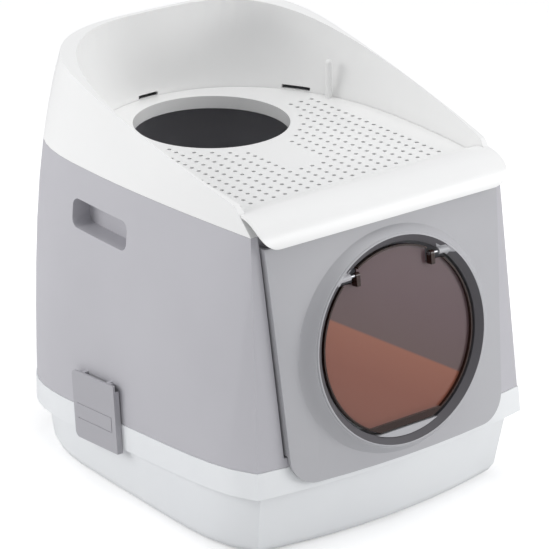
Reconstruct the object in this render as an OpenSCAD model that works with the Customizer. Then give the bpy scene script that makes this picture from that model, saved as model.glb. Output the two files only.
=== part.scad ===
// Top entry litter box: a deep pan, a hood with a swing-up front panel and a round flap door,
// two side clips, and a hinged top cover with a perforated deck and a curved splash guard.
// X is the width, +Y points to the rear, Z is up, and the pan's base stands on Z = 0.

/* [Body] */
// Greatest width of the hood, across its bowed sides
body_w = 410; // [380:1:440]
// Overall length, from the front panel's lower edge to the rear of the hood
total_l = 510; // [480:1:540]
// Height of the hood's top edge, where the top cover rests
hood_top = 370; // [350:1:400]
// Wall thickness of the hood and the pan
wall = 3; // [2.5:0.1:4]
// How far each side leans in between the seam and the hood's top edge
side_lean = 15; // [8:0.5:20]
// How far the rear leans in between the seam and the hood's top edge
rear_lean = 12; // [8:0.5:14]
// Forward lean of the front face, degrees
front_lean = 6.1; // [4:0.1:7]
// Width between the front corners at the seam
front_w = 370; // [355:1:380]
// Bow of the front face at the seam
front_bow = 19; // [10:0.5:22]
// Radius of the base's lower edge
base_round = 14; // [8:1:18]
// How far the pan's basin stands in from the hood's outline at the front
basin_in = 9; // [7:0.5:14]

/* [Seam] */
// Height of the seam between hood and pan at the front corners
seam_front = 113.5; // [105:0.5:125]
// Slope of the seam, lower at the rear, degrees
seam_slope = 4.6; // [2:0.1:5.5]
// Height of the pan's outer rim band
band_h = 30; // [24:1:36]
// Height of the pan's upstand inside the hood
upstand = 6; // [5:0.5:6.5]

/* [Front panel] */
// Width of the panel at its top edge
panel_top_w = 322; // [316:1:326]
// Width of the panel at its bottom edge
panel_bottom_w = 300; // [290:1:310]
// Height of the panel's lower edge
panel_z = 92; // [86:1:97]
// Height of the panel's upper edge
panel_top = 357; // [354:0.5:358]
// How far the panel stands proud of the hood's front
panel_proud = 6; // [4:0.5:7]
// Depth of the bay that the panel closes
bay_depth = 14; // [13:0.5:18]
// Thickness of the panel
panel_t = 3; // [2.4:0.1:3.5]
// Gap between the panel's edge and the bay
panel_gap = 2; // [1.5:0.1:3]
// Corner radius of the panel's lower corners
panel_corner = 32; // [20:1:40]
// Height of the axis that the panel swings on
panel_axis_z = 350; // [348:0.5:351]
// Diameter of the panel's hinge pins
panel_pin_d = 4; // [3:0.5:4.5]

/* [Port and flap] */
// Bore of the port ring
port_d = 215; // [204:1:216]
// How far the ring widens on each side, from its bore to its mouth
mouth_w = 7; // [4:0.5:8]
// Wall thickness of the port ring
ring_t = 2.6; // [2.2:0.1:3.5]
// How far the port's lip stands out from the panel at its middle
lip_h = 10; // [8:0.5:11]
// Width of the hollow curve that runs from the panel up to the lip
flare_w = 22; // [16:0.5:23]
// Height of the port's centre
port_z = 223.5; // [222:0.5:225]
// Gap between the flap's edge and the bore
flap_gap = 3.5; // [3:0.1:5]
// Thickness of the flap's sheet
flap_t = 2.6; // [2:0.1:3]
// Height of the turned-up edge round the flap
flap_edge_h = 6.5; // [5:0.1:7]
// Height of the thick strip along the flap's lower edge
flap_strip_h = 8; // [5:0.5:12]
// Distance of the flap's axis below the top of the bore
axis_drop = 23; // [22:0.5:26]
// Height of the sill over the bottom of the bore
sill_h = 8.5; // [8:0.5:12]
// Spacing of the two hinge lugs
lug_span = 104; // [90:1:106]
// Diameter of the flap's hinge pins
flap_pin_d = 4; // [3:0.5:4.5]

/* [Handles] */
// Length of a side handle pocket
grip_l = 104; // [90:1:115]
// Height of a side handle pocket
grip_h = 34; // [28:1:38]
// Depth of a side handle pocket
grip_depth = 34; // [26:1:40]
// Corner radius of a pocket
grip_r = 10; // [6:1:14]
// Height of the pocket's centre
grip_z = 316; // [306:1:322]
// Distance of the pocket's centre behind the middle
grip_y = 45; // [30:1:60]

/* [Clips] */
// Length of a side clip
clip_l = 82; // [70:1:90]
// Height of a side clip
clip_h = 81; // [74:1:84]
// Thickness of a clip's skin
clip_t = 2.6; // [2.2:0.1:3]
// Distance of the clip's centre behind the middle
clip_y = 38; // [25:1:50]
// Diameter of the clip's hinge pin
clip_pin_d = 3; // [2.5:0.5:4]

/* [Top cover] */
// Height of the deck's upper face
deck_z = 379; // [377:0.5:382]
// Thickness of the deck
deck_t = 2.6; // [2.2:0.1:3.2]
// How far the deck's widest part stands in from the hood's top edge
deck_in = 11; // [10:0.5:14]
// Rear edge of the deck, from the middle
deck_rear = 211; // [200:1:214]
// Diameter of the entry hole
hole_d = 180; // [165:1:185]
// Distance of the entry hole's centre behind the middle
hole_y = 98; // [92:1:102]
// Height of the skirt round the entry hole
skirt_h = 15; // [8:1:18]
// Diameter of a perforation
perf_d = 5.4; // [4:0.1:6]
// Spacing of the perforations across the deck
perf_dx = 15.5; // [13:0.1:17]
// Spacing of the rows of perforations
perf_dy = 12.6; // [11:0.1:14]
// Front row of perforations, in front of the middle
perf_front = 137; // [132:1:140]
// Height of the guard's rim at its front ends, over the deck
guard_front_h = 17; // [12:0.5:22]
// Height of the guard's rim at the rear, over the deck
guard_rear_h = 108; // [95:1:114]
// Wall thickness of the guard
guard_t = 2.6; // [2.2:0.1:3]
// Height of the peg that stands on the deck
peg_h = 47; // [35:1:52]
// Diameter of the peg
peg_d = 7.4; // [6:0.2:8]
// Width of the visor
visor_w = 344; // [338:1:346]
// Height of the visor's crest over the deck
visor_rise = 12; // [6:0.5:14]
// How far the visor's lip reaches below the deck
visor_drop = 20; // [16:0.5:21]
// How far the visor's lip stands in front of its crest
visor_run = 41; // [38:1:44]
// Corner radius of the visor's lower corners
visor_corner = 24; // [8:1:28]
// Diameter of the cover's hinge pins
lid_pin_d = 5; // [4:0.5:6]
// Spacing of the two rear hinges
lid_hinge_span = 140; // [110:1:170]

/* [Hidden] */
$fn = 64;

white = [0.95, 0.95, 0.95];
pan_white = [0.9, 0.91, 0.92];
grey = [0.72, 0.71, 0.74];
light_grey = [0.78, 0.78, 0.8];
brown = [0.45, 0.28, 0.2, 0.7];
steel = [0.6, 0.6, 0.62];

// Clearances
skin_gap = 0.3;
pin_fit = 0.05;
seat_fit = 0.5;
big = 900;
sliver = 0.01;

// The body's outline at each height. The rise runs from 0 at the seam's rear to 1 at the hood's top.
wide_y = 45;
front_taper = 0.05;
top_bow = 6;
rear_power = 3.5;
rear_steps = 13;
side_steps = 7;
front_steps = 5;
seam_low = seam_front - total_l * tan(seam_slope);
front_low = -total_l / 2 + panel_proud + front_bow;
function rise(z) = max(0, (z - seam_low) / (hood_top - seam_low));
function half_w(z) = body_w / 2 - side_lean * pow(rise(z), 2);
function rear_y(z) = total_l / 2 - rear_lean * pow(rise(z), 4);
function corner_y(z) = front_low + (z - panel_z) * tan(front_lean);
function corner_x(z) = front_w / 2 - (z - seam_front) * front_taper;
function bow_at(z) = front_bow - (z - panel_z) * (front_bow - top_bow) / (hood_top - panel_z);
function side_power(z) = max(1.7, 8 - 6.3 * rise(z));
function seam_z(y) = seam_front - (y - front_low) * tan(seam_slope);

// Plan outline with bowed sides, a bowed front between two corners and a rounded rear
function half_plan(hw, cx, yc, bow, yr, n, p, yw) = concat(
    [for (i = [0 : rear_steps]) let (a = 90 - 90 * i / rear_steps)
        [hw * pow(cos(a), 2 / n), yw + (yr - yw) * pow(sin(a), 2 / n)]],
    [for (i = [1 : side_steps]) let (s = pow(i / side_steps, 0.8))
        [hw - (hw - cx) * pow(s, p), yw - (yw - yc) * s]],
    [for (i = [1 : front_steps]) let (u = 1 - i / front_steps)
        [cx * u, yc - bow * (1 - u * u)]]);
function mirrored(pts) = concat(pts, [for (i = [len(pts) - 2 : -1 : 1]) [-pts[i][0], pts[i][1]]]);
function plan_at(z, inset) = mirrored(half_plan(half_w(z) - inset, corner_x(z) - inset,
    corner_y(z) + inset, bow_at(z), rear_y(z) - inset, rear_power, side_power(z), wide_y));

// Solid of the body's outline between two heights, set in all round
module form(z0, z1, inset, steps = 6) {
    hull() for (i = [0 : steps]) let (z = z0 + (z1 - z0) * i / steps)
        translate([0, 0, z - (i == steps ? sliver : 0)])
            linear_extrude(sliver) polygon(plan_at(z, inset));
}

// Half space under a plane that passes through (y0, z0) and rises towards the rear by an angle
module under(y0, z0, angle) {
    translate([0, y0, z0]) rotate([angle, 0, 0]) translate([-big / 2, -big, -big])
        cube([big, 2 * big, big]);
}

// Layer between two heights over the seam
module slab(low, high) {
    difference() {
        under(front_low, seam_front + high, -seam_slope);
        under(front_low, seam_front + low, -seam_slope);
    }
}

// Front view outline pushed through the front along Y
module through_front() {
    translate([0, -total_l / 4, 0]) rotate([90, 0, 0]) linear_extrude(total_l / 4 + 20) children();
}
module round_rect(w, h, r) {
    square([w - 2 * r, h], center = true);
    square([w, h - 2 * r], center = true);
    for (sx = [-1, 1], sy = [-1, 1]) translate([sx * (w / 2 - r), sy * (h / 2 - r)]) circle(r);
}

// Pan: a basin with a rounded lower edge, and a rim band that hangs outside it from a flange
basin_side_in = wall + seat_fit + 0.6;
basin_lean = 0.17;
basin_high = seam_front - band_h;
basin_top = seam_front + upstand + 20;
relief_w = 52;
relief_h = 4;
function edge_in(z) = base_round - sqrt(max(0, pow(base_round, 2) - pow(max(0, base_round - z), 2)));
function basin_plan(z, inset) = let (d = inset + edge_in(z),
    lean = (z < basin_high ? basin_lean : 0.03) * (basin_high - z))
    mirrored(half_plan(body_w / 2 - basin_side_in - lean / 4 - d, front_w / 2 - basin_in - lean / 2 - d,
        front_low + basin_in + lean + d, front_bow, total_l / 2 - basin_in - 1.6 * lean - d,
        3.4, 7, wide_y));
module basin(inset, floor_z) {
    levels = [0, base_round * 0.1, base_round * 0.35, base_round, basin_high, basin_top];
    hull() for (i = [0 : 5])
        translate([0, 0, levels[i] + floor_z - (i == 5 ? sliver + floor_z : 0)])
            linear_extrude(sliver) polygon(basin_plan(levels[i], inset));
}
module base_pan() {
    notch_y = front_low + basin_in + basin_lean * basin_high + base_round * 0.65 - front_bow;
    color(pan_white) difference() {
        union() {
            intersection() {
                basin(0, 0);
                under(front_low, seam_front + upstand, -seam_slope);
            }
            difference() {
                intersection() {
                    form(seam_low - band_h - 10, seam_front + 10, -1, 3);
                    slab(-band_h, -skin_gap);
                }
                intersection() {
                    form(seam_low - band_h - 12, seam_front + 12, wall - 1, 3);
                    slab(-band_h - 5, -wall - skin_gap);
                }
            }
        }
        basin(wall, wall);
        translate([-relief_w / 2, -total_l / 2, -1]) cube([relief_w, notch_y + total_l / 2, relief_h + 1]);
    }
}

// Hood: a shell with a bay in its front, a grip pocket in each side and hinge ears at its rear
bay_top_w = panel_top_w + 2 * panel_gap;
bay_bottom_w = panel_bottom_w + 2 * panel_gap;
function bay_w(z) = bay_bottom_w + (bay_top_w - bay_bottom_w) * (z - panel_z) / (panel_top - panel_z);
opening_w = 262;
bay_low = seam_front + upstand + wall + 1.5;
opening_low = bay_low;
opening_high = panel_axis_z - 12;
ear_t = 5;
ear_r = 4.6;
ear_drop = 13;
knuckle_l = 15;
ear_x = (knuckle_l + ear_t) / 2 + skin_gap;
lid_axis_y = rear_y(hood_top) + ear_r + 1.6;
panel_axis_y = corner_y(panel_axis_z) + panel_pin_d / 2 + 0.2;
panel_pin_l = 20;
panel_pin_x = panel_top_w / 2 - 2.5;
module bay_outline(grow) {
    z0 = bay_low - grow;
    z1 = hood_top + 2;
    polygon([[-bay_w(z0) / 2 - grow, z0], [bay_w(z0) / 2 + grow, z0],
        [bay_w(z1) / 2 + grow, z1], [-bay_w(z1) / 2 - grow, z1]]);
}
module grip_block(grow) {
    for (s = [-1, 1]) translate([s * (body_w / 2 - grip_depth - grow), grip_y, grip_z])
        rotate([90, 0, s * 90]) linear_extrude(grip_depth + grow + 20)
            round_rect(grip_l + 2 * grow, grip_h + 2 * grow, grip_r + grow);
}
module along_x(x, y, z, d, l) {
    for (s = [-1, 1]) translate([s * x, y, z]) rotate([0, 90, 0]) cylinder(d = d, h = l, center = true);
}
module hood_ears() {
    for (e = [-1, 1]) along_x(lid_hinge_span / 2 + e * ear_x, lid_axis_y, hood_top, 2 * ear_r, ear_t);
    for (s = [-1, 1], e = [-1, 1])
        translate([s * (lid_hinge_span / 2 + e * ear_x) - ear_t / 2, rear_y(hood_top) - wall,
                hood_top - ear_drop])
            cube([ear_t, lid_axis_y - rear_y(hood_top) + wall, ear_drop]);
}
module hood_body(inset) {
    form(seam_low - 10, hood_top + (inset > 0 ? 1 : 0), inset);
}
module hood() {
    color(grey) difference() {
        union() {
            difference() {
                hood_body(0);
                hood_body(wall);
            }
            intersection() {
                hood_body(0);
                union() {
                    difference() {
                        through_front() bay_outline(wall);
                        hood_body(bay_depth + wall);
                    }
                    grip_block(wall);
                }
            }
            hood_ears();
            for (s = [-1, 1]) at_clip(s) clip_ears();
        }
        difference() {
            through_front() bay_outline(0);
            hood_body(bay_depth);
        }
        through_front() translate([0, (opening_low + opening_high) / 2])
            round_rect(opening_w, opening_high - opening_low, 40);
        grip_block(0);
        under(front_low, seam_front, -seam_slope);
        along_x(lid_hinge_span / 2, lid_axis_y, hood_top, lid_pin_d, 4 * ear_x);
        along_x(panel_pin_x, panel_axis_y, panel_axis_z, panel_pin_d, panel_pin_l);
        for (s = [-1, 1]) at_clip(s) clip_pin_shape(clip_pin_d);
    }
}

// Clips: each hangs from two ears on the hood and hooks under the pan's rim band
clip_ear_u = 24;
clip_ear_t = 5;
clip_ear_r = clip_pin_d / 2 + 1.3;
clip_axis_out = clip_ear_r + 0.9;
clip_above_axis = 3.4;
clip_tooth = 3.4;
clip_below = band_h + 0.6 + clip_tooth;
clip_axis_up = clip_h - clip_below - clip_above_axis;
clip_skin_in = clip_ear_r + 0.4;
clip_pin_l = 2 * clip_ear_u + 3 * clip_ear_t + 4 * skin_gap;
clip_x = half_w(seam_z(clip_y) + clip_axis_up) + clip_axis_out;
module at_clip(s) {
    mirror([s < 0 ? 1 : 0, 0, 0]) translate([clip_x, clip_y, seam_z(clip_y) + clip_axis_up])
        rotate([-seam_slope, 0, 0]) children();
}
module along_u(u, d, l) {
    translate([0, u, 0]) rotate([90, 0, 0]) cylinder(d = d, h = l, center = true);
}
module clip_pin_shape(d) {
    along_u(0, d, clip_pin_l);
}
module clip_ears() {
    for (u = [-clip_ear_u, clip_ear_u]) {
        along_u(u, 2 * clip_ear_r, clip_ear_t);
        translate([-clip_axis_out - 1, u - clip_ear_t / 2, -clip_ear_r])
            cube([clip_axis_out + 1, clip_ear_t, 2 * clip_ear_r]);
    }
}
clip_low = -clip_h + clip_above_axis;
clip_rim_in = body_w / 2 + 1 + seat_fit - clip_x;
clip_groove = 0.7;
module clip_outline(inset) {
    r = 7 - inset / 2;
    translate([0, (clip_above_axis + clip_low) / 2]) {
        round_rect(clip_l - 2 * inset, clip_h - 2 * inset, r);
        translate([-clip_l / 4 + inset / 2, 0]) square([clip_l / 2 - inset, clip_h - 2 * inset], center = true);
    }
}
// Front view outline of a clip, laid in the plane of its hinge axis and pushed outwards
module clip_plate(x0, x1) {
    translate([x0, 0, 0]) rotate([90, 0, 90]) linear_extrude(x1 - x0) children();
}
module clip() {
    difference() {
        union() {
            clip_plate(clip_skin_in, clip_skin_in + clip_t) clip_outline(0);
            intersection() {
                clip_plate(clip_rim_in, clip_skin_in + 1) difference() {
                    clip_outline(0);
                    clip_outline(2.2);
                }
                translate([-20, -clip_l, clip_low - 1]) cube([40, 2 * clip_l, clip_h - 2 * clip_above_axis]);
            }
            for (s = [-1, 1]) translate([0, s * (clip_ear_u + clip_ear_t + skin_gap), 0]) {
                along_u(0, 2 * clip_ear_r + 0.2, clip_ear_t);
                translate([0, -clip_ear_t / 2, -clip_ear_r]) cube([clip_skin_in + 1, clip_ear_t, 2 * clip_ear_r]);
            }
            translate([-clip_axis_out - 1.4, -clip_l / 2 + 12, clip_low])
                cube([clip_axis_out + clip_skin_in + 2.4, clip_l - 24, clip_tooth]);
        }
        clip_pin_shape(clip_pin_d + 2 * pin_fit);
        clip_plate(clip_skin_in + clip_t - clip_groove, clip_skin_in + clip_t + 1) clip_grooves();
    }
}
module clip_grooves() {
    translate([0, clip_low + clip_h * 0.52]) square([clip_l - 16, 1.4], center = true);
    translate([0, clip_low + clip_h * 0.30]) square([clip_l - 16, 1.4], center = true);
    translate([-clip_l / 2 + 8, clip_low + clip_h * 0.41]) square([1.4, clip_h * 0.22 + 1.4], center = true);
}
module clip_right() {
    color(grey) at_clip(1) clip();
}
module clip_left() {
    color(grey) at_clip(-1) clip();
}
module clip_pin_right() {
    color(steel) at_clip(1) clip_pin_shape(clip_pin_d);
}
module clip_pin_left() {
    color(steel) at_clip(-1) clip_pin_shape(clip_pin_d);
}

// Top cover: the deck drops into a ledge inside the guard, and the guard hinges on the hood
deck_front = corner_y(hood_top) + 12;
deck_w = 2 * (half_w(hood_top) - deck_in);
arm_y = deck_front + 13;
arm_rake = 43;
dish_front = deck_front - 40;
dish_wide_y = -20;
foot_power = 2.15;
ledge_w = 9;
guard_top = deck_z + guard_rear_h + 8;
rim_angle = atan((guard_rear_h - guard_front_h) / (deck_rear - deck_front));
function dish_plan(hw, yr, n, inset) =
    mirrored(half_plan(hw - inset, hw - 24 - inset, dish_front + inset, 0, yr - inset, n, 2.2, dish_wide_y));
function foot_x(y) = deck_w / 2 * pow(1 - pow(max(0, y - dish_wide_y) / (deck_rear - dish_wide_y),
    foot_power), 1 / foot_power);
function foot_y(x) = dish_wide_y + (deck_rear - dish_wide_y) * pow(1 - pow(abs(x) / (deck_w / 2),
    foot_power), 1 / foot_power);
module dish(grow, low) {
    mid_z = deck_z + 0.55 * guard_rear_h;
    levels = [[low, deck_w / 2, deck_rear, foot_power], [deck_z, deck_w / 2, deck_rear, foot_power],
        [mid_z, half_w(mid_z) - guard_t, deck_rear + 2, 2.9],
        [guard_top, half_w(guard_top) - guard_t, rear_y(guard_top) - guard_t, 3.3]];
    hull() for (l = levels) translate([0, 0, l[0]]) linear_extrude(sliver)
        polygon(dish_plan(l[1] + grow, l[2] + grow, l[3], 0));
}
// Half space behind the raked plane that the guard's two arms end on
module behind_rake(shift) {
    translate([0, arm_y, deck_z + guard_front_h + 1.6]) rotate([-arm_rake, 0, 0])
        translate([-big / 2, shift, -big / 2]) cube(big);
}
module rim_under(drop) {
    under(deck_front, deck_z + guard_front_h - drop, rim_angle);
}
window_h = 4.5;
windows = [[-8, 28], [144, 36], [-144, 36]];
module guard_windows() {
    for (w = windows) let (y = foot_y(w[0]), turn = atan2(foot_y(w[0] + 2) - foot_y(w[0] - 2), 4))
        translate([w[0], y, deck_z]) rotate([0, 0, turn]) translate([-w[1] / 2, -4, 0.5])
            cube([w[1], 4 + 3 * guard_t, window_h]);
}
module guard() {
    color(white) difference() {
        union() {
            difference() {
                intersection() {
                    form(hood_top + skin_gap, guard_top, 0);
                    rim_under(0);
                    behind_rake(0);
                }
                difference() {
                    intersection() {
                        form(hood_top - 1, guard_top, guard_t);
                        rim_under(1.6 * guard_t);
                        behind_rake(1.6 * guard_t);
                    }
                    dish(guard_t, hood_top - 2);
                }
            }
            along_x(lid_hinge_span / 2, lid_axis_y, hood_top, 2 * ear_r, knuckle_l);
            for (s = [-1, 1]) translate([s * lid_hinge_span / 2 - knuckle_l / 2,
                    rear_y(hood_top) - 2.2, hood_top + skin_gap])
                cube([knuckle_l, lid_axis_y - rear_y(hood_top) + 2.2, 8]);
        }
        dish(0, deck_z - deck_t);
        translate([0, 0, hood_top - 1]) linear_extrude(deck_z - deck_t - hood_top + 1 + sliver)
            polygon(dish_plan(deck_w / 2, deck_rear, foot_power, ledge_w));
        guard_windows();
        along_x(lid_hinge_span / 2, lid_axis_y, hood_top, lid_pin_d + 2 * pin_fit, 2 * knuckle_l);
    }
}

// Deck: a thin plate with the entry hole's skirt, the perforations and the visor over its front
ramp_l = 38;
visor_steps = 8;
perf_cols = 9;
perf_rows = 18;
perf_edge = 9;
bare_cols = 1;
bare_rows = [5, 10];
crest_y = arm_y - 4.5;
visor_front = crest_y - visor_run;
function visor_line(t) = concat(
    [for (i = [-1 : visor_steps]) let (k = max(0, i) / visor_steps)
        [crest_y + ramp_l * (1 - k) - min(0, i), deck_z - t + visor_rise * (1 - cos(180 * k)) / 2]],
    [for (i = [1 : visor_steps]) let (a = 90 * i / visor_steps)
        [crest_y - (visor_run - t) * sin(a), deck_z - visor_drop + (visor_rise + visor_drop - t) * cos(a)]]);
function flipped(pts) = [for (i = [len(pts) - 1 : -1 : 0]) pts[i]];
function has_hole(c, r) = let (x = c * perf_dx, y = -perf_front + r * perf_dy)
    norm([x, y - hole_y]) > hole_d / 2 + 13 && abs(x) < foot_x(y) - perf_edge && y < hole_y + 60
    && !(abs(c) <= bare_cols && r >= bare_rows[0] && r <= bare_rows[1]);
module deck_outline() {
    polygon(dish_plan(deck_w / 2, deck_rear, foot_power, seat_fit));
}
module visor_body() {
    translate([-visor_w / 2, 0, 0]) rotate([90, 0, 90]) linear_extrude(visor_w)
        polygon(concat(visor_line(0), flipped(visor_line(deck_t))));
}
module deck() {
    color(white) difference() {
        union() {
            translate([0, 0, deck_z - deck_t]) linear_extrude(deck_t) difference() {
                deck_outline();
                for (c = [-perf_cols : perf_cols], r = [0 : perf_rows]) if (has_hole(c, r))
                    translate([c * perf_dx, -perf_front + r * perf_dy]) circle(d = perf_d, $fn = 8);
                translate([-big / 2, crest_y + ramp_l - big]) square(big);
            }
            intersection() {
                visor_body();
                union() {
                    translate([0, 0, deck_z]) linear_extrude(big, center = true) deck_outline();
                    difference() {
                        translate([-big / 2, -big, 0]) cube(big);
                        behind_rake(-skin_gap);
                    }
                }
                through_front() translate([0, deck_z - visor_drop + big / 2])
                    round_rect(visor_w, big, visor_corner);
            }
            translate([0, hole_y, 0]) skirt();
        }
        translate([0, hole_y, deck_z - skirt_h - 1]) cylinder(d = hole_d, h = skirt_h + 2, $fn = 96);
    }
}
module skirt() {
    rotate_extrude($fn = 96) polygon([[hole_d / 2 - 1, deck_z - skirt_h], [hole_d / 2 + 2, deck_z - skirt_h],
        [hole_d / 2 + deck_t, deck_z - deck_t], [hole_d / 2 + deck_t, deck_z], [hole_d / 2 - 1, deck_z]]);
}
peg_y = 81;
peg_x = foot_x(peg_y) - peg_d / 2 - 3;
module peg() {
    color(white) translate([peg_x, peg_y, deck_z]) {
        cylinder(d = peg_d, h = peg_h - peg_d / 2);
        translate([0, 0, peg_h - peg_d / 2]) sphere(d = peg_d);
    }
}
module lid_pins() {
    color(steel) along_x(lid_hinge_span / 2, lid_axis_y, hood_top, lid_pin_d, 2 * ear_x + ear_t + 2);
}

// Front panel, with the port ring in it
port_y = corner_y(port_z) - bow_at(port_z) - panel_proud;
port_lean = atan(tan(front_lean) + (front_bow - top_bow) / (hood_top - panel_z));
flap_face = 0.5;
flap_back = flap_face - flap_t;
flap_front = flap_back + flap_edge_h;
bore_out = 4.5;
mouth_r = port_d / 2 + mouth_w;
ring_r = mouth_r + ring_t;
flare_foot = -7;
flare_t = 3.4;
collar_low = lip_h - 0.8 - flare_t;
panel_return = 10;
panel_ear_r = panel_pin_d / 2 + 2.2;
panel_ear_w = 8;
function arc(cx, cy, r, a0, a1, n = 8) =
    [for (i = [0 : n]) let (a = a0 + (a1 - a0) * i / n) [cx + r * cos(a), cy + r * sin(a)]];
module panel_outline(inset) {
    r = panel_corner - inset;
    x0 = panel_bottom_w / 2 - inset;
    x1 = panel_top_w / 2 - inset;
    z0 = panel_z + inset;
    polygon(concat(arc(x0 - r, z0 + r, r, -90, 0), [[x1, panel_top], [-x1, panel_top]],
        arc(-x0 + r, z0 + r, r, 180, 270)));
}
// Frame of the port: X stays, local Y runs up the panel and local Z points out of it
module at_port() {
    translate([0, port_y, port_z]) rotate([90 - port_lean, 0, 0]) children();
}
module panel_body(inset) {
    form(panel_z - 12, hood_top, inset);
}
module front_panel() {
    color(grey) difference() {
        union() {
            difference() {
                union() {
                    intersection() {
                        panel_body(-panel_proud);
                        through_front() panel_outline(0);
                    }
                    at_port() flare(0, 2);
                }
                panel_body(panel_t - panel_proud);
                at_port() flare(flare_t, 20);
            }
            intersection() {
                panel_body(-panel_proud);
                through_front() difference() {
                    panel_outline(0);
                    panel_outline(panel_t);
                }
                union() {
                    difference() {
                        panel_body(-panel_proud - 1);
                        panel_body(panel_return - panel_proud);
                        translate([-big / 2, -big, bay_low + 2 - big]) cube([big, 2 * big, big]);
                    }
                    difference() {
                        panel_body(-panel_proud - 1);
                        panel_body(-1 - seat_fit - skin_gap);
                    }
                }
            }
            panel_ears();
        }
        at_port() cylinder(r = ring_r, h = 60, center = true, $fn = 96);
        along_x(panel_pin_x, panel_axis_y, panel_axis_z, panel_pin_d + 2 * pin_fit, panel_pin_l + 4);
    }
}
// Solid under the hollow curve that rises from the panel's face to the port's lip
flare_r = ring_r + 1.2;
function flare_line(drop) = [for (i = [0 : 8]) let (k = 1 - i / 8)
    [flare_r + flare_w * (1 - k), flare_foot + (lip_h - 0.8 - flare_foot) * k * k - drop]];
module flare(drop, low) {
    rotate_extrude($fn = 96) polygon(concat([[0, lip_h - 0.8 - drop]], flare_line(drop),
        [[flare_r + flare_w, flare_foot - low], [0, flare_foot - low]]));
}
module panel_ears() {
    x = panel_top_w / 2 - panel_t - panel_ear_w / 2;
    along_x(x, panel_axis_y, panel_axis_z, 2 * panel_ear_r, panel_ear_w);
    for (s = [-1, 1]) translate([s * x - panel_ear_w / 2, panel_axis_y - panel_ear_r - 2, panel_axis_z - panel_ear_r])
        cube([panel_ear_w, panel_ear_r + 2, 2 * panel_ear_r]);
}
module panel_pins() {
    color(steel) along_x(panel_pin_x, panel_axis_y, panel_axis_z, panel_pin_d, panel_pin_l);
}
// Port ring: a liner that widens to its mouth, with a boss for each of the flap's pins
flap_r = port_d / 2 - flap_gap;
flap_axis = port_d / 2 - axis_drop;
flap_axis_out = 5.5;
sill_y = sill_h - port_d / 2;
sill_out = 6;
sill_fit = 1.5;
flap_low = sill_y + sill_fit;
lug_w = 5;
lug_l = 12;
lug_r = flap_pin_d / 2 + 1.4;
boss_r = flap_pin_d / 2 + 1.8;
boss_in = lug_span / 2 + lug_w / 2 + 7;
pin_in = lug_span / 2 - lug_w / 2 - 1;
pin_out = boss_in + 5;
module flap_axis_line(d, x0, x1) {
    for (s = [-1, 1]) translate([s * (x0 + x1) / 2, flap_axis, flap_axis_out]) rotate([0, 90, 0])
        cylinder(d = d, h = x1 - x0, center = true);
}
module port_ring() {
    color(light_grey) at_port() difference() {
        union() {
            rotate_extrude($fn = 96) polygon([[port_d / 2, flap_back], [port_d / 2 + ring_t, flap_back],
                [port_d / 2 + ring_t, bore_out - ring_t], [ring_r, collar_low], [ring_r, lip_h],
                [ring_r - 0.8, lip_h + 0.6], [mouth_r + 0.8, lip_h + 0.6], [mouth_r, lip_h],
                [port_d / 2, bore_out]]);
            intersection() {
                flap_axis_line(2 * boss_r, boss_in, port_d / 2);
                rotate_extrude($fn = 96) polygon([[0, flap_back], [port_d / 2 + 1, flap_back],
                    [port_d / 2 + 1, bore_out], [mouth_r + 1, lip_h], [0, lip_h]]);
            }
        }
        flap_axis_line(flap_pin_d, pin_in, pin_out);
    }
}
module flap_sill() {
    color(grey) at_port() intersection() {
        translate([0, 0, flap_back]) cylinder(d = port_d, h = sill_out - flap_back, $fn = 96);
        translate([-big / 2, sill_y - big, -big / 2]) cube(big);
    }
}

// Flap: a shallow tray with a straight lower edge, hung on two pins
module flap_plan(inset, low_inset) {
    difference() {
        circle(r = flap_r - inset, $fn = 96);
        translate([-big / 2, flap_low + low_inset - big]) square(big);
    }
}
module door_flap() {
    notch_x = lug_span / 2 - lug_w / 2 - sill_fit;
    color(brown) at_port() difference() {
        translate([0, 0, flap_back]) linear_extrude(flap_edge_h) flap_plan(0, 0);
        translate([0, 0, flap_face]) linear_extrude(flap_edge_h) flap_plan(2, flap_strip_h);
        for (s = [-1, 1]) translate([s > 0 ? notch_x : -notch_x - big, flap_axis - lug_l + 3, -big / 2])
            cube(big);
    }
}
module flap_lugs() {
    color(brown) at_port() for (s = [-1, 1]) translate([s * lug_span / 2, 0, 0]) difference() {
        union() {
            translate([0, flap_axis, flap_axis_out]) rotate([0, 90, 0]) cylinder(r = lug_r, h = lug_w, center = true);
            translate([-lug_w / 2, flap_axis - lug_l, flap_face])
                cube([lug_w, lug_l, flap_axis_out + lug_r - flap_face]);
        }
        translate([0, flap_axis, flap_axis_out]) rotate([0, 90, 0])
            cylinder(d = flap_pin_d + 2 * pin_fit, h = 2 * lug_w, center = true);
    }
}
module flap_pins() {
    color(steel) at_port() flap_axis_line(flap_pin_d, pin_in, pin_out);
}

base_pan();
hood();
guard();
deck();
peg();
front_panel();
port_ring();
flap_sill();
door_flap();
flap_lugs();
flap_pins();
panel_pins();
clip_left();
clip_right();
clip_pin_left();
clip_pin_right();
lid_pins();
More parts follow.
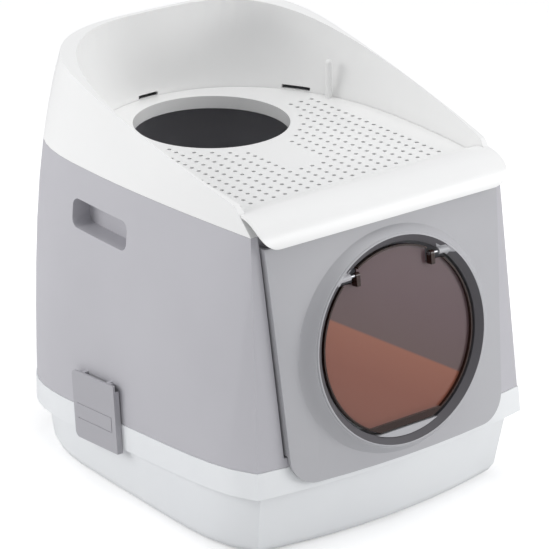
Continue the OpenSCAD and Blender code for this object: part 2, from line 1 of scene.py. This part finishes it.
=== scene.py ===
import math
import bpy
import bmesh
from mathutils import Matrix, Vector


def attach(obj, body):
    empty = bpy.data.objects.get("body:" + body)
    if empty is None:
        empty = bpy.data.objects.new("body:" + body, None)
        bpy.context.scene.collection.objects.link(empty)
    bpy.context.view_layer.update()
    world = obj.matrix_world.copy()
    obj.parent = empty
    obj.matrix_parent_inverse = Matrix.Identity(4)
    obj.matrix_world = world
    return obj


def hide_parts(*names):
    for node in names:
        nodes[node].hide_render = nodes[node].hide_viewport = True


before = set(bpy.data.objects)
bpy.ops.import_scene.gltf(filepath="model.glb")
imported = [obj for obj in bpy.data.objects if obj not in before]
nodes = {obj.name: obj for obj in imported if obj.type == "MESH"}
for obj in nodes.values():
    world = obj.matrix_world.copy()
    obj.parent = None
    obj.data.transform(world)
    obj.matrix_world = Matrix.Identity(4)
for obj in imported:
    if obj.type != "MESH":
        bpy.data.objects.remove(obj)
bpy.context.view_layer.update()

# View: the photograph looks down on the box's left front corner from three and a half metres away.
# The lens is long, so the upright edges stay almost parallel.
camera_place = (-1.9274, -2.4999, 1.5161)
camera_direction = Vector((0.5676, 0.7306, -0.3793))
lens_mm = 196.7
scene = bpy.context.scene
scene.view_settings.view_transform = "Standard"
camera = bpy.data.objects.new("camera", bpy.data.cameras.new("camera"))
camera.data.sensor_width = 36
camera.data.lens = lens_mm
camera.data.clip_end = 30
camera.location = camera_place
camera.rotation_euler = camera_direction.to_track_quat("-Z", "Y").to_euler()
scene.collection.objects.link(camera)
scene.camera = camera


# Studio: a pale floor, a large soft box at the left rear, one at the right front and one overhead.
# The camera sees the floor and the surroundings as white, as in the catalogue picture. Other rays
# meet a duller floor, so that it throws little light up at the box.


def linear(hex_colour):
    """An sRGB hex colour such as "B7B6BB" as linear values."""
    parts = [int(hex_colour[i:i + 2], 16) / 255 for i in (0, 2, 4)]
    return tuple(c / 12.92 if c <= 0.04045 else ((c + 0.055) / 1.055) ** 2.4 for c in parts) + (1,)


def add_node(material, kind, settings=None, **links):
    """Adds a shader node; settings go to its properties or sockets, links take other nodes' outputs."""
    node = material.node_tree.nodes.new(kind)
    for key, value in (settings or {}).items():
        if key in node.inputs:
            node.inputs[key].default_value = value
        else:
            setattr(node, key, value)
    for key, output in links.items():
        material.node_tree.links.new(output, node.inputs[key.replace("_", " ")])
    return node


floor_half = 6
floor_gap = 0.0005
floor_mesh = bmesh.new()
bmesh.ops.create_grid(floor_mesh, x_segments=1, y_segments=1, size=floor_half)
floor = bpy.data.objects.new("floor", bpy.data.meshes.new("floor"))
floor_mesh.to_mesh(floor.data)
floor_mesh.free()
floor.location.z = -floor_gap
scene.collection.objects.link(floor)
floor_paint = bpy.data.materials.new("studio_floor")
floor_paint.use_nodes = True
floor_paint.node_tree.nodes.clear()
path = add_node(floor_paint, "ShaderNodeLightPath")
pale = add_node(floor_paint, "ShaderNodeBsdfDiffuse", {"Color": linear("F2F2F2")})
dull = add_node(floor_paint, "ShaderNodeBsdfDiffuse", {"Color": linear("E4E4E4")})
glow = add_node(floor_paint, "ShaderNodeEmission", {"Color": (1, 1, 1, 1), "Strength": 0.35})
lit = add_node(floor_paint, "ShaderNodeAddShader")
floor_paint.node_tree.links.new(pale.outputs[0], lit.inputs[0])
floor_paint.node_tree.links.new(glow.outputs[0], lit.inputs[1])
seen = add_node(floor_paint, "ShaderNodeMixShader", Fac=path.outputs["Is Camera Ray"])
floor_paint.node_tree.links.new(dull.outputs[0], seen.inputs[1])
floor_paint.node_tree.links.new(lit.outputs[0], seen.inputs[2])
add_node(floor_paint, "ShaderNodeOutputMaterial", Surface=seen.outputs[0])
floor.data.materials.append(floor_paint)

world = bpy.data.worlds.new("surroundings")
scene.world = world
world.use_nodes = True
world.node_tree.nodes.clear()
path = add_node(world, "ShaderNodeLightPath")
soft = add_node(world, "ShaderNodeBackground", {"Color": linear("F4F5F8"), "Strength": 0.5})
backdrop = add_node(world, "ShaderNodeBackground", {"Color": (1, 1, 1, 1), "Strength": 1})
shown = add_node(world, "ShaderNodeMath", {"operation": "MAXIMUM"})
world.node_tree.links.new(path.outputs["Is Camera Ray"], shown.inputs[0])
world.node_tree.links.new(path.outputs["Is Transmission Ray"], shown.inputs[1])
both = add_node(world, "ShaderNodeMixShader", Fac=shown.outputs[0])
world.node_tree.links.new(soft.outputs[0], both.inputs[1])
world.node_tree.links.new(backdrop.outputs[0], both.inputs[2])
add_node(world, "ShaderNodeOutputWorld", Surface=both.outputs[0])


def soft_box(name, place, target, size, power):
    """A square area lamp that faces a point."""
    lamp = bpy.data.objects.new(name, bpy.data.lights.new(name, "AREA"))
    lamp.data.size = size
    lamp.data.energy = power
    lamp.location = place
    lamp.rotation_euler = (Vector(target) - Vector(place)).to_track_quat("-Z", "Y").to_euler()
    scene.collection.objects.link(lamp)


middle = (0, 0, 0.2)
soft_box("left_soft_box", (-2.5, 1.5, 1.3), middle, 1.8, 44)
soft_box("right_soft_box", (2.1, -2.3, 1.0), middle, 1.6, 44)
soft_box("top_soft_box", (0.1, -0.3, 2.8), middle, 1.6, 22)


# Pan: the deep white basin that holds the litter, moulded in one piece in gloss polypropylene.
# Its rim band hangs outside the basin, just proud of the hood above it.


def shell_copy(name, node, sharp):
    """A CAD node's mesh with its doubles merged and its curves shaded smooth, in the node's place.

    Each corner's normal is the mean of the faces round it that lean less than sharp degrees from its
    own face. Large faces count for more, which keeps flat places flat up to where a curve starts.
    """
    shell = bmesh.new()
    shell.from_mesh(nodes[node].data)
    bmesh.ops.remove_doubles(shell, verts=shell.verts, dist=0.00002)
    shell.normal_update()
    area = {face: face.calc_area() for face in shell.faces}
    limit = math.cos(math.radians(sharp))
    corner_normals = []
    for face in shell.faces:
        face.smooth = True
        for corner in face.loops:
            mean = Vector()
            for other in corner.vert.link_faces:
                if other.normal.dot(face.normal) > limit:
                    mean += other.normal * area[other]
            corner_normals.append(mean.normalized() if mean.length > 0 else face.normal.copy())
    piece = bpy.data.objects.new(name, bpy.data.meshes.new(name))
    shell.to_mesh(piece.data)
    shell.free()
    piece.data.normals_split_custom_set(corner_normals)
    scene.collection.objects.link(piece)
    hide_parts(node)
    return piece


def moulded(name, colour, shade, rough, grain, depth):
    """Injection-moulded plastic: a fine eroded grain, and slow cloudy changes in tone and gloss.

    The grain is the width of the speckles in millimetres, drawn coarser than the real 0.2 mm so that
    it shows. The clouds are about 170 mm wide, as the flow of the melt leaves them.
    """
    plastic = bpy.data.materials.new(name)
    plastic.use_nodes = True
    shader = plastic.node_tree.nodes["Principled BSDF"]
    shader.inputs["IOR"].default_value = 1.49
    place = add_node(plastic, "ShaderNodeTexCoord").outputs["Object"]
    cloud = add_node(plastic, "ShaderNodeTexNoise", {"Scale": 6, "Detail": 3, "Roughness": 0.5},
                     Vector=place)
    tone = add_node(plastic, "ShaderNodeValToRGB", Fac=cloud.outputs["Fac"])
    tone.color_ramp.elements[0].position = 0.3
    tone.color_ramp.elements[0].color = linear(shade)
    tone.color_ramp.elements[1].position = 0.7
    tone.color_ramp.elements[1].color = linear(colour)
    plastic.node_tree.links.new(tone.outputs["Color"], shader.inputs["Base Color"])
    gloss = add_node(plastic, "ShaderNodeMapRange", {"To Min": rough - 0.04, "To Max": rough + 0.05},
                     Value=cloud.outputs["Fac"])
    plastic.node_tree.links.new(gloss.outputs["Result"], shader.inputs["Roughness"])
    speckle = add_node(plastic, "ShaderNodeTexNoise", {"Scale": 1000 / grain, "Detail": 2}, Vector=place)
    bump = add_node(plastic, "ShaderNodeBump", {"Strength": depth, "Distance": 0.0002},
                    Height=speckle.outputs["Fac"])
    plastic.node_tree.links.new(bump.outputs["Normal"], shader.inputs["Normal"])
    return plastic


# White gloss polypropylene gives soft, broad highlights.
pan_plastic = moulded("pan_polypropylene", "EEF0F1", "E9EBED", 0.32, 2.0, 0.03)
pan = shell_copy("pan_shell", "base_pan", 35)
pan.data.materials.append(pan_plastic)
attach(pan, "shell")

# Hood: the grey body shell, moulded in one piece with a fine matt grain, open above and below.
# A pocket in each side gives the fingers a grip, and a shallow bay in the front takes the panel.
# The matt grain spreads the light evenly over the flat sides.
hood_plastic = moulded("hood_polypropylene", "BFBEC3", "BAB9BE", 0.5, 1.6, 0.05)
hood = shell_copy("hood_shell", "hood", 35)
hood.data.materials.append(hood_plastic)
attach(hood, "shell")

# Guard: the curved white splash guard round the deck, a hollow moulding with gloss faces.
# It rests on the hood's top edge and turns on two hinges at the rear.
# A warmer, glossier white than the pan's.
white_plastic = moulded("white_polypropylene", "F4F4F3", "F1F1F0", 0.3, 2.0, 0.03)
guard = shell_copy("guard_shell", "guard", 35)
guard.data.materials.append(white_plastic)
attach(guard, "top_cover")

# Deck and peg: the perforated plate that drops into the guard, with the entry hole's skirt.
# The visor is part of the same moulding, and the peg stands in a socket at its right edge.
for node in ("deck", "peg"):
    part = shell_copy(node + "_shell", node, 30)
    part.data.materials.append(white_plastic)
    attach(part, "top_cover")

# Front panel: the grey door that hangs in front of the hood, moulded with a turned-in edge.
# Two pins under the visor carry it, and it rises in a hollow curve to the port's lip.
# A cooler grey than the hood's, with a satin sheen.
panel_plastic = moulded("panel_polypropylene", "B7B7BA", "B2B2B6", 0.42, 1.6, 0.05)
panel = shell_copy("panel_shell", "front_panel", 30)
panel.data.materials.append(panel_plastic)
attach(panel, "front_door")

# Port ring: the liner of the port, in the panel's plastic, which narrows from its mouth to its bore.
# Its funnel and bore are painted dark grey inside, a painted shade for the dim inside of the port, and
# two light bosses hold the flap's pins.
# A flat light sill closes the lowest part of the bore under the flap.
port_middle = Vector((0, -0.2348, 0.2235))
face_lean = math.radians(8.734)
pin_height = 0.0845
pin_out = 0.0055
boss_reach = 0.0065
boss_from = 0.045
# Painted shade: a dark grey that stands for the shade inside the port's funnel and bore.
bore_painted_shade = moulded("bore_painted_shade_polypropylene", "58565A", "525054", 0.45, 1.6, 0.05)
outward = Vector((0, -math.cos(face_lean), math.sin(face_lean)))
upward = Vector((0, math.sin(face_lean), math.cos(face_lean)))
for name, node, slot in (("ring_shell", "port_ring", "light_ring"),
                         ("sill_shell", "flap_sill", "grey_shell")):
    liner = shell_copy(name, node, 30)
    liner.data.materials.append(panel_plastic)
    if node == "port_ring":
        liner.data.materials.append(bore_painted_shade)
        # Faces of the funnel and bore that look towards the port's middle get the painted shade, all but
        # those round the pin bosses.
        for polygon in liner.data.polygons:
            place = polygon.center - port_middle
            depth = place.dot(outward)
            spoke = place - depth * outward
            from_pin = Vector((spoke.dot(upward) - pin_height, depth - pin_out))
            at_boss = abs(place.x) > boss_from and from_pin.length < boss_reach
            if polygon.normal.dot(-spoke.normalized()) > 0.3 and not at_boss:
                polygon.material_index = 1
    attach(liner, "front_door")

# Flap: a shallow tray of translucent brown acrylic with a turned-up edge and a thick strip below.
# The face is painted greyer above a slant and redder below it: a painted view through the flap of the
# hood's grey inside above the seam where it meets the pan, and of the pan's red-tinted glow below.
# Its side walls and turned-up edge are nearly black: partly the deeper tint of the acrylic seen edge-on,
# partly painted shade on the tray's walls inside the port.
slant_fall = 0.593
slant_low = 0.094
slant_high = 0.334
face_top = 0.002
# Cast acrylic: a smooth gloss face through which a little light passes.
flap_plastic = bpy.data.materials.new("tinted_acrylic")
flap_plastic.use_nodes = True
shader = flap_plastic.node_tree.nodes["Principled BSDF"]
shader.inputs["Roughness"].default_value = 0.16
shader.inputs["IOR"].default_value = 1.49
shader.inputs["Transmission Weight"].default_value = 0.15
place = add_node(flap_plastic, "ShaderNodeTexCoord").outputs["Object"]
parts = add_node(flap_plastic, "ShaderNodeSeparateXYZ", Vector=place)
across = add_node(flap_plastic, "ShaderNodeMath", {"operation": "MULTIPLY_ADD"}, Value=parts.outputs["X"])
across.inputs[1].default_value = slant_fall
flap_plastic.node_tree.links.new(parts.outputs["Z"], across.inputs[2])
height = add_node(flap_plastic, "ShaderNodeMapRange", {"From Min": slant_low, "From Max": slant_high},
                  Value=across.outputs[0])
# Painted see-through view: the face's base colour paints the hood's inside above the seam and the pan's
# red-lit wall below.
painted_see_through = add_node(flap_plastic, "ShaderNodeValToRGB", Fac=height.outputs["Result"])
ramp = painted_see_through.color_ramp.elements
ramp[0].color = linear("88584B")
ramp[1].position = 1
ramp[1].color = linear("6E5B5E")
for stop, colour in ((0.3, "8E594A"), (0.495, "996250"), (0.505, "685554"), (0.75, "6B575A")):
    ramp.new(stop).color = linear(colour)
flap_plastic.node_tree.links.new(painted_see_through.outputs["Color"], shader.inputs["Base Color"])
# Nearly black acrylic for the flap's edges and lugs; on the tray's walls its darkness is partly painted
# shade.
edge_plastic = moulded("acrylic_edge", "33190F", "2A140C", 0.15, 2.0, 0.0)
edge_plastic.node_tree.nodes["Principled BSDF"].inputs["Transmission Weight"].default_value = 0.2
flap = shell_copy("flap_tray", "door_flap", 30)
flap.data.materials.append(flap_plastic)
flap.data.materials.append(edge_plastic)
# Side walls, which lie across the face, and the turned-up edge in front of it get the nearly black
# acrylic, partly as painted shade.
for polygon in flap.data.polygons:
    depth = (polygon.center - port_middle).dot(outward)
    if abs(polygon.normal.dot(outward)) < 0.5 or depth > face_top:
        polygon.material_index = 1
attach(flap, "flap")
lugs = shell_copy("lug_pair", "flap_lugs", 30)
lugs.data.materials.append(edge_plastic)
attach(lugs, "flap")

# Clips: each hangs from a pin on the hood's side and hooks under the pan's rim band.
# They are moulded in a slightly darker grey than the hood.
clip_plastic = moulded("clip_polypropylene", "B0AFB4", "ABAAAF", 0.45, 1.6, 0.05)
for side in ("left", "right"):
    clip = shell_copy("clip_shell_" + side, "clip_" + side, 30)
    clip.data.materials.append(clip_plastic)
    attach(clip, side + "_clip")

# Hinge pins: plain drawn steel wire, cut to length and pressed in.
# They keep a fine drawn shine, a little duller than polished.
steel = bpy.data.materials.new("drawn_steel")
steel.use_nodes = True
shader = steel.node_tree.nodes["Principled BSDF"]
shader.inputs["Base Color"].default_value = linear("A8A9AC")
shader.inputs["Metallic"].default_value = 1
place = add_node(steel, "ShaderNodeTexCoord").outputs["Object"]
drawn = add_node(steel, "ShaderNodeTexNoise", {"Scale": 900, "Detail": 2}, Vector=place)
shine = add_node(steel, "ShaderNodeMapRange", {"To Min": 0.25, "To Max": 0.4}, Value=drawn.outputs["Fac"])
steel.node_tree.links.new(shine.outputs["Result"], shader.inputs["Roughness"])
for node in ("flap_pins", "panel_pins", "clip_pin_left", "clip_pin_right", "lid_pins"):
    nodes[node].data.materials.clear()
    nodes[node].data.materials.append(steel)
